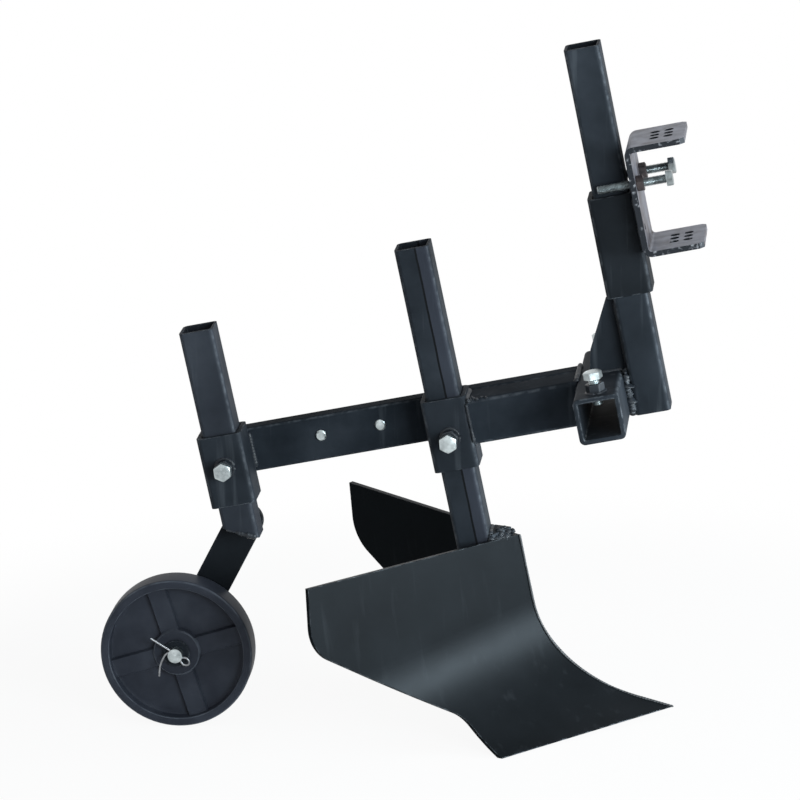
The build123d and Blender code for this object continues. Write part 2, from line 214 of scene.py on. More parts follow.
# socket paint with wider, paler edges: partly wear, partly painted highlight
socketPaint = {**tubePaint, "corner": 0.36, "edge": 0.0030, "wornAndLit": (0.250, 0.270, 0.295)}
weldPaint = {**tubePaint, "rough": (0.30, 0.46), "specular": 0.28, "scuff": 0.0, "corner": 0.0}
leanAngle = math.atan2(-upAxis[0], upAxis[2])


def cornerOn(nodes, links, coords):
    # 1 on rounded corners: the largest part of the normal along the tubes' own three axes falls away from 1
    level = nodes.new("ShaderNodeVectorRotate")
    level.rotation_type = "Y_AXIS"
    level.inputs["Angle"].default_value = leanAngle
    links.new(coords.outputs["Normal"], level.inputs["Vector"])
    size = nodes.new("ShaderNodeVectorMath")
    size.operation = "ABSOLUTE"
    links.new(level.outputs["Vector"], size.inputs[0])
    parts = nodes.new("ShaderNodeSeparateXYZ")
    links.new(size.outputs["Vector"], parts.inputs["Vector"])
    largest = mathOn(nodes, links, "MAXIMUM", parts.outputs["X"], parts.outputs["Y"])
    largest = mathOn(nodes, links, "MAXIMUM", largest, parts.outputs["Z"])
    return shareOn(nodes, links, largest, *paintGrain["cornerLean"])


def seamOn(nodes, links, coords, settings, base):
    # the tube's welded seam on its near face: a thin dark line that wanders a little, with a paler strip ahead of it
    near = facingOn(nodes, links, coords, "Y", *settings["nearLean"])
    ahead = nodes.new("ShaderNodeVectorMath")
    ahead.operation = "DOT_PRODUCT"
    ahead.inputs[1].default_value = tuple(aheadAxis)
    links.new(coords.outputs["Object"], ahead.inputs[0])
    drift = noiseOn(nodes, links, coords, *settings["drift"])
    drift = spanOn(nodes, links, drift, -settings["wander"], settings["wander"])
    moved = mathOn(nodes, links, "ADD", ahead.outputs["Value"], drift)
    middle = float(levelStart @ aheadAxis) + settings["seam"]
    strip = shareOn(nodes, links, moved, middle, middle + settings["seamHalf"], settings["beyondShare"])
    line = nodes.new("ShaderNodeMath")
    line.operation = "COMPARE"
    line.inputs[1].default_value = middle
    line.inputs[2].default_value = settings["seamHalf"]
    links.new(moved, line.inputs[0])
    for share, colour in ((strip, settings["beyond"]), (line.outputs["Value"], settings["seamDark"])):
        base = mixColour(nodes, links, mathOn(nodes, links, "MULTIPLY", near, share), base, colour)
    return base


def makePaint(name, settings, grain=paintGrain):
    # black paint: cloudy tone, orange peel, scuffs in long streaks, and thin pale edges that are partly wear and partly
    # painted highlight
    material, nodes, links, shader = newMaterial(name)
    coords = nodes.new("ShaderNodeTexCoord")
    cloud = noiseOn(nodes, links, coords, *grain["cloud"])
    tone = rampOn(nodes, links, cloud, grain["tones"], [settings[key] for key in ("dark", "middle", "light")])
    streak = noiseOn(nodes, links, coords, *grain["streak"], grain["streakStretch"], grain["streakTurn"])
    scuff = rampOn(nodes, links, streak, grain["streaks"], greys(0, settings["scuff"]))
    scuffed = mixColour(nodes, links, scuff, tone, settings["wornAndLit"])
    if "seam" in settings:
        scuffed = seamOn(nodes, links, coords, settings, scuffed)
    # pale edges, partly wear and partly painted highlight: where the rounded normal leaves the true one, broken up by
    # noise
    rounded = nodes.new("ShaderNodeBevel")
    rounded.samples = grain["bevelSamples"]
    rounded.inputs["Radius"].default_value = settings["edge"]
    geometry = nodes.new("ShaderNodeNewGeometry")
    dot = nodes.new("ShaderNodeVectorMath")
    dot.operation = "DOT_PRODUCT"
    links.new(rounded.outputs["Normal"], dot.inputs[0])
    links.new(geometry.outputs["Normal"], dot.inputs[1])
    edgeWearAndShine = shareOn(nodes, links, dot.outputs["Value"], *grain["bevelLean"])
    patch = noiseOn(nodes, links, coords, *grain["patch"])
    broken = shareOn(nodes, links, patch, *grain["broken"])
    wornAndLit = mathOn(nodes, links, "MULTIPLY", edgeWearAndShine, broken)
    # rounded corners are made pale as well where asked, partly wear and partly painted highlight
    if settings["corner"]:
        amount = spanOn(nodes, links, broken, grain["cornerLeast"], settings["corner"])
        rubbedAndLit = mathOn(nodes, links, "MULTIPLY", cornerOn(nodes, links, coords), amount)
        wornAndLit = mathOn(nodes, links, "MAXIMUM", wornAndLit, rubbedAndLit)
    links.new(mixColour(nodes, links, wornAndLit, scuffed, settings["wornAndLit"]), shader.inputs["Base Color"])
    gloss = noiseOn(nodes, links, coords, *grain["gloss"])
    links.new(spanOn(nodes, links, gloss, *settings["rough"]), shader.inputs["Roughness"])
    peel = noiseOn(nodes, links, coords, *grain["peel"])
    skin = bumpOn(nodes, links, peel, *grain["peelBump"], rounded.outputs["Normal"])
    links.new(skin, shader.inputs["Normal"])
    shader.inputs["Specular IOR Level"].default_value = settings["specular"]
    # where asked, the gloss is coloured cool blue: a painted colour in the highlights
    if "tint" in settings:
        shader.inputs["Specular Tint"].default_value = (*settings["tint"], 1)
    return material


# edge is the pale colour of the wheel's rounded edges, partly painted highlight
castSkin = {
    "dark": (0.0200, 0.0230, 0.0320), "middle": (0.0280, 0.0320, 0.0430), "light": (0.0390, 0.0440, 0.0570),
    "edge": (0.088, 0.098, 0.118), "rough": (0.40, 0.55), "specular": 0.10, "cloud": (30.0, 6.0),
    "tones": (0.30, 0.52, 0.75), "edgeLean": (0.38, 0.62, 0.80, 0.95), "patch": (45.0, 4.0), "patches": (0.35, 0.62),
    "patchLeast": 0.15, "grain": (1400.0, 3.0), "grainBump": (0.16, 0.0004),
}


def makeCastSkin(name, settings):
    # moulded or cast wheel: fine grain, dusty tone in the hollows of a broad noise
    material, nodes, links, shader = newMaterial(name)
    coords = nodes.new("ShaderNodeTexCoord")
    cloud = noiseOn(nodes, links, coords, *settings["cloud"])
    tone = rampOn(nodes, links, cloud, settings["tones"], [settings[key] for key in ("dark", "middle", "light")])
    # rounded edges, where the normal leans between the face and the tread, are made pale in patches: partly wear,
    # partly painted highlight
    lean = facingOn(nodes, links, coords, "Y", 0.0, 1.0, True)
    edge = rampOn(nodes, links, lean, settings["edgeLean"], greys(0, 1, 1, 0))
    patch = noiseOn(nodes, links, coords, *settings["patch"])
    patches = rampOn(nodes, links, patch, settings["patches"], greys(settings["patchLeast"], 1))
    rubbedAndLit = mathOn(nodes, links, "MULTIPLY", edge, patches)
    links.new(mixColour(nodes, links, rubbedAndLit, tone, settings["edge"]), shader.inputs["Base Color"])
    links.new(spanOn(nodes, links, cloud, *settings["rough"]), shader.inputs["Roughness"])
    grain = noiseOn(nodes, links, coords, *settings["grain"])
    links.new(bumpOn(nodes, links, grain, *settings["grainBump"]), shader.inputs["Normal"])
    shader.inputs["Specular IOR Level"].default_value = settings["specular"]
    return material


metalGrain = {"cloudDetail": 6.0, "tones": (0.32, 0.66), "grain": (700.0, 3.0), "grainBump": (0.14, 0.0003)}
zincPlate = {
    "dark": (0.30, 0.34, 0.35), "light": (0.57, 0.63, 0.64), "rough": (0.20, 0.42), "metal": 0.92, "cloud": 120.0,
}
dullZinc = {
    "dark": (0.13, 0.145, 0.15), "light": (0.36, 0.40, 0.41), "rough": (0.22, 0.44), "metal": 0.92, "cloud": 120.0,
}
pinSteel = {
    "dark": (0.16, 0.17, 0.18), "light": (0.36, 0.37, 0.39), "rough": (0.26, 0.46), "metal": 0.90, "cloud": 150.0,
}
rustSteel = {
    "dark": (0.006, 0.004, 0.005), "light": (0.040, 0.028, 0.027), "rough": (0.40, 0.65), "metal": 0.20, "cloud": 160.0,
}
ridgeSteel = {
    "dark": (0.010, 0.012, 0.014), "light": (0.050, 0.055, 0.060), "rough": (0.36, 0.56), "metal": 0.15, "cloud": 170.0,
}


def makeMetal(name, settings):
    # bare or plated metal: patchy tone, fine grain, uneven gloss
    material, nodes, links, shader = newMaterial(name)
    coords = nodes.new("ShaderNodeTexCoord")
    cloud = noiseOn(nodes, links, coords, settings["cloud"], metalGrain["cloudDetail"])
    tone = rampOn(nodes, links, cloud, metalGrain["tones"], [settings["dark"], settings["light"]])
    links.new(tone, shader.inputs["Base Color"])
    links.new(spanOn(nodes, links, cloud, *settings["rough"]), shader.inputs["Roughness"])
    grain = noiseOn(nodes, links, coords, *metalGrain["grain"])
    links.new(bumpOn(nodes, links, grain, *metalGrain["grainBump"]), shader.inputs["Normal"])
    shader.inputs["Metallic"].default_value = settings["metal"]
    return material


plateSteel = {
    "dark": (0.180, 0.186, 0.222), "light": (0.335, 0.345, 0.398), "cloud": (60.0, 6.0), "tones": (0.34, 0.66),
    "stain": (0.100, 0.092, 0.092), "broad": (38.0, 4.0), "broadStretch": (1.0, 1.0, 0.6), "stains": (0.52, 0.68),
    "stainShare": 0.5, "cut": (0.012, 0.014, 0.018), "speck": (0.24, 0.245, 0.265), "fine": (240.0, 3.0),
    "specks": (0.57, 0.74), "cutLean": (0.40, 0.62), "web": (0.135, 0.135, 0.158), "smear": (0.044, 0.035, 0.036),
    "streak": (95.0, 5.0), "streakStretch": (1.0, 1.0, 0.35), "smears": (0.38, 0.64), "webLean": (0.40, 0.75),
    "rough": (0.40, 0.62), "metal": 0.30, "specular": 0.20, "fineBump": (0.12, 0.0004),
}


def makePlate(name, settings):
    # bare plate: patchy grey, brownish stains, a darker smeared web on the faces turned to the front, its darkness
    # partly painted shade, and dark cut edges with pale specks on the faces turned to the sides
    material, nodes, links, shader = newMaterial(name)
    coords = nodes.new("ShaderNodeTexCoord")
    cloud = noiseOn(nodes, links, coords, *settings["cloud"])
    tone = rampOn(nodes, links, cloud, settings["tones"], [settings["dark"], settings["light"]])
    broad = noiseOn(nodes, links, coords, *settings["broad"], settings["broadStretch"])
    stain = rampOn(nodes, links, broad, settings["stains"], greys(0, settings["stainShare"]))
    surface = mixColour(nodes, links, stain, tone, settings["stain"])
    streak = noiseOn(nodes, links, coords, *settings["streak"], settings["streakStretch"])
    web = rampOn(nodes, links, streak, settings["smears"], [settings["web"], settings["smear"]])
    # faces turned to the front take the darker smeared colour: painted shade along with real smears
    ahead = facingOn(nodes, links, coords, "X", *settings["webLean"])
    surface = mixColour(nodes, links, ahead, surface, web)
    fine = noiseOn(nodes, links, coords, *settings["fine"])
    cut = rampOn(nodes, links, fine, settings["specks"], [settings["cut"], settings["speck"]])
    edge = facingOn(nodes, links, coords, "Y", *settings["cutLean"], True)
    links.new(mixColour(nodes, links, edge, surface, cut), shader.inputs["Base Color"])
    links.new(spanOn(nodes, links, cloud, *settings["rough"]), shader.inputs["Roughness"])
    links.new(bumpOn(nodes, links, fine, *settings["fineBump"]), shader.inputs["Normal"])
    shader.inputs["Metallic"].default_value = settings["metal"]
    shader.inputs["Specular IOR Level"].default_value = settings["specular"]
    return material


blackPaint = makePaint("blackPaint", tubePaint)
wingBlack = makePaint("wingBlack", wingPaint)
wingPaintedShade = makePaint("wingPaintedShade", wingPaintedShadePaint)
paintedShadeBlack = makePaint("paintedShadeBlack", paintedShadePaint)
paintedLightBlack = makePaint("paintedLightBlack", paintedLightPaint)
seamBlack = makePaint("seamBlack", seamPaint)
socketBlack = makePaint("socketBlack", socketPaint)
dullBlack = makePaint("dullBlack", dullPaint)
weldBlack = makePaint("weldBlack", weldPaint)
wheelSkin = makeCastSkin("wheelSkin", castSkin)
zinc = makeMetal("zinc", zincPlate)
ridgeMetal = makeMetal("ridgeMetal", ridgeSteel)
pinMetal = makeMetal("pinMetal", pinSteel)
stopMetal = makeMetal("stopMetal", dullZinc)
rustMetal = makeMetal("rustMetal", rustSteel)
bareSteel = makePlate("bareSteel", plateSteel)
finishes = {"black_paint": blackPaint, "zinc": zinc, "bare_steel": bareSteel, "cast_wheel": wheelSkin}
# the darker paint on the hitch sleeve and wheel arm is painted shade, the lighter one on the rear leg painted light
ownPaint = {
    "near_wing": wingBlack, "far_wing": wingBlack, "hitch_sleeve": paintedShadeBlack, "wheel_arm": paintedShadeBlack,
    "rear_leg": paintedLightBlack, "plough_shank": seamBlack, "cross_socket": socketBlack, "front_tube": dullBlack,
    "beam": dullBlack,
}
for row in frame["record"]["subparts"]:
    surface = frame["nodes"][row["node"]].data
    surface.materials.clear()
    surface.materials.append(ownPaint.get(row["node"], finishes[row["material_slot"]]))
# the wings' rear faces take a dull copy of the wing paint with almost no gloss: painted shade on the faces turned away
# from the lamps
rearLean = -0.1
for name in ("near_wing", "far_wing"):
    surface = frame["nodes"][name].data
    surface.materials.append(wingPaintedShade)
    normals = np.empty(3 * len(surface.polygons))
    surface.polygons.foreach_get("normal", normals)
    turnedBack = normals.reshape(-1, 3)[:, 0] < rearLean
    surface.polygons.foreach_set("material_index", turnedBack.astype(np.int32))
print("materials made:", ", ".join(finishes))


# Mesh making: reaches in metres, the sharp angle in degrees

meshLimits = {"merge": 1e-6, "thin": 1e-7, "sharp": 38.0}


def sheetFaces(rows, columns, first):
    # quads between neighbouring rows, with the columns joined round
    row = np.arange(rows - 1)[:, None] * columns
    here = np.arange(columns)[None, :]
    there = (here + 1) % columns
    quads = np.stack([row + here, row + there, row + columns + there, row + columns + here], -1)
    return quads.reshape(-1, 4) + first


def makePiece(name, sheets, body, slot, replaced=(), sharp=meshLimits["sharp"], finish=None):
    # one object from closed sheets of level points, with poles merged and faces turned outwards
    points = np.concatenate([sheet.reshape(-1, 3) for sheet in sheets])
    firsts = np.cumsum([0] + [sheet.shape[0] * sheet.shape[1] for sheet in sheets])
    quads = np.concatenate([sheetFaces(*sheet.shape[:2], first) for sheet, first in zip(sheets, firsts)])
    mesh = bpy.data.meshes.new(name)
    mesh.vertices.add(len(points))
    mesh.vertices.foreach_set("co", stand(points).ravel())
    mesh.loops.add(quads.size)
    mesh.loops.foreach_set("vertex_index", quads.ravel().astype(np.int32))
    mesh.polygons.add(len(quads))
    mesh.polygons.foreach_set("loop_start", np.arange(0, quads.size, 4, dtype=np.int32))
    mesh.update(calc_edges=True)
    merged = bmesh.new()
    merged.from_mesh(mesh)
    bmesh.ops.remove_doubles(merged, verts=merged.verts, dist=meshLimits["merge"])
    bmesh.ops.dissolve_degenerate(merged, edges=merged.edges, dist=meshLimits["thin"])
    bmesh.ops.recalc_face_normals(merged, faces=merged.faces)
    merged.to_mesh(mesh)
    merged.free()
    mesh.polygons.foreach_set("use_smooth", np.ones(len(mesh.polygons), bool))
    mesh.set_sharp_from_angle(angle=math.radians(sharp))
    mesh.materials.append(finish or finishes[slot])
    piece = bpy.data.objects.new(name, mesh)
    bpy.context.scene.collection.objects.link(piece)
    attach(piece, body)
    if replaced:
        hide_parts(*replaced)
    return piece


def turnedOn(origin, axis, local):
    # local x, y, z sheet set at an origin with its z along an axis
    axis = np.asarray(axis, float) / np.linalg.norm(axis)
    helper = np.array([0.0, 0.0, 1.0]) if abs(axis[2]) < 0.9 else np.array([1.0, 0.0, 0.0])
    across = np.cross(helper, axis)
    across /= np.linalg.norm(across)
    return np.asarray(origin, float) + local @ np.stack([across, np.cross(axis, across), axis])


def ringsOf(angles, radii, heights):
    # rings round an axis: radius and height may change from ring to ring and round each ring
    radii, heights = np.broadcast_arrays(radii, heights)
    return np.stack([radii * np.cos(angles), radii * np.sin(angles), heights], -1)


# Bolts and nuts

boltHead = {
    "flats": 18.0, "height": 8.0, "thread": 12.0, "pitch": 1.75, "nutSlack": 0.2,
    "chamferStart": 0.94, "slope": math.tan(math.radians(28)), "columns": 72,
}
smallHead = {**boltHead, "flats": 16.0, "height": 7.0, "thread": 10.0, "pitch": 1.5}


def hexSheet(settings, height, spin, bore=0.0, lowChamfer=False):
    # six-sided block: radius is half the flats over the cosine of the angle from the nearest flat,
    # and the top falls away outside a chamfer circle
    angles = np.linspace(0, 2 * np.pi, settings["columns"], endpoint=False)
    corner = settings["flats"] / 2 / np.cos((angles + spin) % (np.pi / 3) - np.pi / 6)
    circle = settings["flats"] / 2 * settings["chamferStart"]
    fall = np.maximum(corner - circle, 0) * settings["slope"]
    level = np.zeros_like(angles)
    radii = np.stack([level + bore, level + circle, corner, corner, level + circle, level + bore])
    low = fall if lowChamfer else level
    heights = np.stack([level, level, low, level + height - fall, level + height, level + height])
    if bore:
        radii = np.concatenate([radii, radii[:1]])
        heights = np.concatenate([heights, heights[:1]])
    return ringsOf(angles, radii, heights)


threadShape = {"depth": 0.60, "steep": 1.3, "flat": 0.15, "bevel": 0.8, "rowsPerTurn": 8, "columns": 40, "slack": 0.1}


def threadSheet(diameter, pitch, low, high):
    # screw thread: the radius is a clipped triangle wave of height over pitch less the turn, with bevelled ends
    rows = int((high - low) / pitch * threadShape["rowsPerTurn"]) + 2
    columns = threadShape["columns"]
    angles = np.linspace(0, 2 * np.pi, columns, endpoint=False)[None, :]
    heights = np.linspace(low, high, rows)[:, None]
    wave = np.abs((heights / pitch - angles / (2 * np.pi)) % 1 - 0.5) * 2
    depth = threadShape["depth"] * pitch * np.clip(wave * threadShape["steep"] - threadShape["flat"], 0, 1)
    fromEnd = np.minimum(heights - low, high - heights)
    radii = np.minimum(diameter / 2 - depth, diameter / 2 - threadShape["bevel"] * pitch + fromEnd)
    radii = np.concatenate([np.zeros((1, columns)), radii, np.zeros((1, columns))])
    heights = np.concatenate([heights[:1], heights, heights[-1:]])
    return ringsOf(angles, radii, heights)


def clampBolt(origin, axis, reach, spin, lift=0.0, settings=boltHead):
    # head over its seat, lifted off it where asked, and thread down into the piece
    head = hexSheet(settings, settings["height"], spin) + np.array([0, 0, lift])
    thread = threadSheet(settings["thread"] - threadShape["slack"], settings["pitch"], -reach, lift)
    return [turnedOn(origin, axis, head), turnedOn(origin, axis, thread)]


def plainNut(origin, axis, height, spin, settings=boltHead):
    # six-sided nut, chamfered at both ends, bored a little wider than its thread
    bore = (settings["thread"] + settings["nutSlack"]) / 2
    return turnedOn(origin, axis, hexSheet(settings, height, spin, bore, True))


sleeveBolts = {"nut": 10.0, "reach": 5.7, "nutTurn": 0.25, "seats": (
    # name, seat, facing, body, lift off the nut, turn
    ("rear", (stations["rear"], -halfSleeve, -2.0), (0, -1, 0), "frame", 3.0, 0.58),
    ("middle", (stations["shank"], -halfSleeve, -12.0), (0, -1, 0), "frame", 10.0, 0.66),
    ("hitch", (stations["post"], halfSleeve, 163.0), (0, 1, 0), "hitch", 3.0, 0.20),
)}
nutSheets = []
for label, seat, face, body, off, spin in sleeveBolts["seats"]:
    boltSheets = clampBolt(seat, face, sleeveBolts["reach"], spin, sleeveBolts["nut"] + off)
    makePiece(label + "ClampBolt", boltSheets, body, "zinc", (label + "_clamp_bolt",))
    nutSheets.append(plainNut(seat, face, sleeveBolts["nut"], spin + sleeveBolts["nutTurn"]))
makePiece("sleeveNuts", nutSheets[:2], "frame", "black_paint", ("sleeve_nuts",), finish=weldBlack)
makePiece("hitchClampNut", nutSheets[2:], "hitch", "black_paint", ("hitch_clamp_nut",), finish=weldBlack)

# stations along the beam, each with its head's turn
beamBolts = {"stations": ((-147.0, 0.0), (-80.0, 0.4)), "height": 3.0, "proud": 3.0}
beamFar = halfSleeve + tube["beamDepth"]
boltSheets = []
for station, spin in beamBolts["stations"]:
    seat = (station, beamFar, beamBolts["height"])
    boltSheets += clampBolt(seat, (0, 1, 0), tube["beamDepth"] + beamBolts["proud"], spin)
makePiece("beamBolts", boltSheets, "frame", "zinc", ("beam_bolts",))

socketBolts = {
    "length": 210.0, "inset": 22.0, "nut": 10.0, "lift": 15.0, "reach": 14.0, "nutTurn": 0.3,
    "sides": ((-1, 0.25), (1, 0.7)),
}
socketSide = socketBolts["length"] / 2 - socketBolts["inset"]
boltSheets = []
nutSheets = []
for side, spin in socketBolts["sides"]:
    seat = (socketStation, side * socketSide, halfSleeve)
    boltSheets += clampBolt(seat, (0, 0, 1), socketBolts["reach"], spin, socketBolts["lift"])
    nutSheets.append(plainNut(seat, (0, 0, 1), socketBolts["nut"], spin + socketBolts["nutTurn"]))
makePiece("socketClampBolts", boltSheets, "frame", "zinc", ("socket_clamp_bolts",))
makePiece("socketNuts", nutSheets, "frame", "black_paint", ("socket_nuts",), finish=weldBlack)

stopBolts = {
    "web": 252.0, "side": 32.0, "height": 228.0, "lift": 32.0, "reach": 42.0, "nut": 8.0, "nutTurn": 0.2,
    "sides": ((-1, 0.1), (1, 0.45)),
}
boltSheets = []
nutSheets = []
for side, spin in stopBolts["sides"]:
    seat = (stopBolts["web"], side * stopBolts["side"], stopBolts["height"])
    boltSheets += clampBolt(seat, (1, 0, 0), stopBolts["reach"], spin, stopBolts["lift"], smallHead)
    nutSheets.append(plainNut(seat, (1, 0, 0), stopBolts["nut"], spin + stopBolts["nutTurn"], smallHead))
makePiece("hitchStopBolts", boltSheets, "hitch", "zinc", ("hitch_stop_bolts",), finish=stopMetal)
makePiece("hitchNuts", nutSheets, "hitch", "black_paint", ("hitch_nuts",), finish=rustMetal)
print("bolts and nuts made")


# Gauge wheel

wheelShape = {
    "radius": 85.0, "halfWidth": 17.0, "rimInner": 75.0, "hub": 26.0, "hubNear": 13.0, "hubFar": 22.0, "bore": 8.05,
    "disc": 4.5, "spokeRise": 5.0, "spokeHalf": 10.0, "draft": 1.6, "spokes": 4, "turn": math.radians(6),
    "rimRound": 3.5, "lipRound": 2.2, "fillet": 2.5, "filletMiddle": 0.6, "filletRises": (0.7, 2.4), "boreBevel": 1.0,
    "hubBevel": 1.5, "hubFoot": 1.2, "floorInset": (4.0, 5.0), "floorRings": 7, "roundSteps": 7, "sharp": 30.0,
}
# columns on half a spoke's top, down its side, over the disc, up the next side and on the next half top
spokeColumns = (4, 2, 16, 2, 4)
widestTop, widestFoot = 0.98, 0.99


def spokeAngles(radius, shape):
    # angles round one ring, with columns held on both edges of every spoke's top and foot
    half = shape["spokeHalf"]
    quarter = 2 * np.pi / shape["spokes"]
    top = np.arcsin(np.clip(half / radius, 0, widestTop))
    foot = np.arcsin(np.clip((half + shape["draft"]) / radius, 0, widestFoot))
    stops = np.stack([0 * radius, top, foot, quarter - foot, quarter - top, quarter + 0 * radius], -1)
    runs = [stops[:, i:i + 1] + (stops[:, i + 1:i + 2] - stops[:, i:i + 1]) * np.linspace(0, 1, n, endpoint=False)
            for i, n in enumerate(spokeColumns)]
    return np.concatenate([np.concatenate(runs, 1) + quarter * number for number in range(shape["spokes"])], 1)


def spokeLift(shape):
    # 1 on a spoke, 0 on the disc, straight down the draft between them
    levels = (1, 1, 0, 0, 1, 1)
    runs = [np.linspace(levels[i], levels[i + 1], n, endpoint=False) for i, n in enumerate(spokeColumns)]
    return np.tile(np.concatenate(runs), shape["spokes"])


def wheelSheet(shape):
    # closed turning: out along the near face, across the tread, back along the far face and through the bore
    outer, inner, wide = shape["radius"], shape["rimInner"], shape["halfWidth"]
    bore, hub, boreBevel, hubBevel = (shape[key] for key in ("bore", "hub", "boreBevel", "hubBevel"))
    rimRound, lipRound = shape["rimRound"], shape["lipRound"]
    rimTurn = np.linspace(0, np.pi / 2, shape["roundSteps"])
    lipTurn = rimTurn[2::2]
    lip = (inner + lipRound * (1 - np.cos(lipTurn)), wide - lipRound * (1 - np.sin(lipTurn)))
    rim = (outer - rimRound * (1 - np.sin(rimTurn)), wide - rimRound * (1 - np.cos(rimTurn)))
    floorRun = np.linspace(hub + shape["floorInset"][0], inner - shape["floorInset"][1], shape["floorRings"])
    floorRadii = np.concatenate([[hub + shape["hubFoot"]], floorRun, [inner - shape["fillet"]]])
    onDisc = np.ones(len(floorRadii))
    aboveDisc = np.zeros(len(lip[0]) + len(rim[0]))
    onFloor = np.concatenate([np.zeros(4), onDisc, [1, 1, 0], aboveDisc])
    filletRise = np.concatenate([np.zeros(4), 0 * onDisc, [*shape["filletRises"], 0], aboveDisc])
    radii = np.concatenate([[bore, bore + boreBevel, hub - hubBevel, hub], floorRadii,
                            [inner - shape["filletMiddle"], inner, inner], lip[0], rim[0]])
    angles = spokeAngles(np.maximum(radii, hub + shape["hubFoot"]), shape)
    floorHeights = shape["disc"] + shape["spokeRise"] * spokeLift(shape)[None, :]
    faces = []
    for hubHeight in (shape["hubNear"], shape["hubFar"]):
        fixed = np.concatenate([[hubHeight - boreBevel, hubHeight, hubHeight, hubHeight - hubBevel], 0 * onDisc,
                                [0.0, 0.0, wide - lipRound], lip[1], rim[1]])
        heights = fixed[:, None] + onFloor[:, None] * floorHeights + filletRise[:, None]
        faces.append((angles, np.broadcast_to(radii[:, None], angles.shape), heights))
    near, far = faces
    angles = np.concatenate([near[0], far[0][::-1], near[0][:1]])
    radii = np.concatenate([near[1], far[1][::-1], near[1][:1]])
    heights = np.concatenate([-near[2], far[2][::-1], -near[2][:1]])
    turned = angles + shape["turn"]
    return np.stack([radii * np.cos(turned), heights, radii * np.sin(turned)], -1) + wheelLevel


makePiece("gaugeWheel", [wheelSheet(wheelShape)], "wheel", "cast_wheel", ("gauge_wheel",), wheelShape["sharp"])
print("wheel made")


# Split pin through the axle's end


def smoothPath(points, perSpan):
    # curve through its points: each span is a cubic of its two ends and their neighbours
    p = np.asarray(points, float)
    p = np.concatenate([2 * p[:1] - p[1:2], p, 2 * p[-1:] - p[-2:-1]])
    t = np.linspace(0, 1, perSpan, endpoint=False)[None, :, None]
    a, b, c, d = p[:-3, None], p[1:-2, None], p[2:-1, None], p[3:, None]
    spans = 0.5 * (2 * b + (c - a) * t + (2 * a - 5 * b + 4 * c - d) * t ** 2 + (3 * b - a - 3 * c + d) * t ** 3)
    return np.concatenate([spans.reshape(-1, 3), p[-2:-1]])


def tubeSheet(path, radii, outward, columns=14, flatten=1.0):
    # ring carried along a path: one axis of the ring leans towards outward, the other is square to both
    along = np.gradient(path, axis=0)
    along /= np.linalg.norm(along, axis=1, keepdims=True)
    outward = np.broadcast_to(np.asarray(outward, float), path.shape)
    lift = outward - np.sum(outward * along, 1, keepdims=True) * along
    lift /= np.linalg.norm(lift, axis=1, keepdims=True)
    across = np.cross(along, lift)
    angles = np.linspace(0, 2 * np.pi, columns, endpoint=False)[None, :, None]
    radii = np.broadcast_to(np.asarray(radii, float).reshape(len(path), -1), (len(path), columns))[:, :, None]
    body = path[:, None] + radii * (np.cos(angles) * lift[:, None] * flatten + np.sin(angles) * across[:, None])
    ends = [np.broadcast_to(path[i], (1, columns, 3)) for i in (0, -1)]
    return np.concatenate([ends[0], body, ends[1]])


splitPin = {"wire": 1.2, "depth": -24.55, "turn": math.radians(-45), "perSpan": 8}
axleTip = np.array([wheel["station"], splitPin["depth"], wheel["height"]])
ahead = np.array([math.cos(splitPin["turn"]), 0.0, math.sin(splitPin["turn"])])
aside = np.array([-ahead[2], 0.0, ahead[0]])


def pinPath(points):
    # level points from a run along the pin's hole, an offset beside it and a depth towards the near side
    p = np.asarray(points, float)
    return axleTip + p[:, :1] * ahead + p[:, 1:2] * aside + p[:, 2:] * np.array([0.0, -1.0, 0.0])


straightLeg = [(-33, 1.0, 1.5), (-21, 1.0, 0.8), (-10, 1.0, 0), (0, 0.8, 0), (6.5, 0.8, 0), (9.5, 3.0, 0), (13, 4.1, 0),
               (16.5, 2.8, 0), (18, 0, 0)]
bentLeg = [(18, 0, 0), (16.5, -2.8, 0), (13, -4.1, 0), (9.5, -3.0, 0), (6.5, -0.8, 0), (0, -0.8, 0), (-6.5, -1.4, 0),
           (-9.2, -5.5, 1.0), (-9.0, -12, 2.0), (-6.8, -20.5, 2.5), (-1.7, -30.3, 2.5)]
pinLine = smoothPath(pinPath(straightLeg + bentLeg[1:]), splitPin["perSpan"])
pinSheet = tubeSheet(pinLine, np.full(len(pinLine), splitPin["wire"]), (0, -1, 0))
makePiece("splitPin", [pinSheet], "leg", "zinc", finish=pinMetal)
# dished turning mark on the axle's near end: the face rises to a low dome inside a bevelled ring
axleEnd = {"radius": 7.4, "dome": 0.7, "depth": -29.05, "mark": 0.4, "marks": 9, "sunk": 0.4, "rings": 9, "columns": 40}
rings = np.linspace(0, 1, axleEnd["rings"])[:, None]
turnRing = np.linspace(0, 2 * np.pi, axleEnd["columns"], endpoint=False)[None, :]
marks = 1 - axleEnd["mark"] + axleEnd["mark"] * np.cos(axleEnd["marks"] * rings)
domeRise = np.concatenate([axleEnd["dome"] * (1 - rings ** 2) * marks, 0 * rings - axleEnd["sunk"]]) + 0 * turnRing
domeRadii = np.concatenate([rings, rings[::-1]]) * axleEnd["radius"] + 0 * turnRing
domeSheet = np.stack([domeRadii * np.cos(turnRing) + wheel["station"], axleEnd["depth"] - domeRise,
                      domeRadii * np.sin(turnRing) + wheel["height"]], -1)
makePiece("axleEnd", [domeSheet], "leg", "zinc")
print("split pin and axle end made")


# Weld beads

beadShape = {
    "step": 0.9, "fewest": 8, "ripple": 3.4, "depth": 0.09, "lean": 1.5, "phase": 6, "wander": 0.12, "knots": 9,
    "least": 0.02, "flat": 0.8, "columns": 16, "sharp": 60,
}
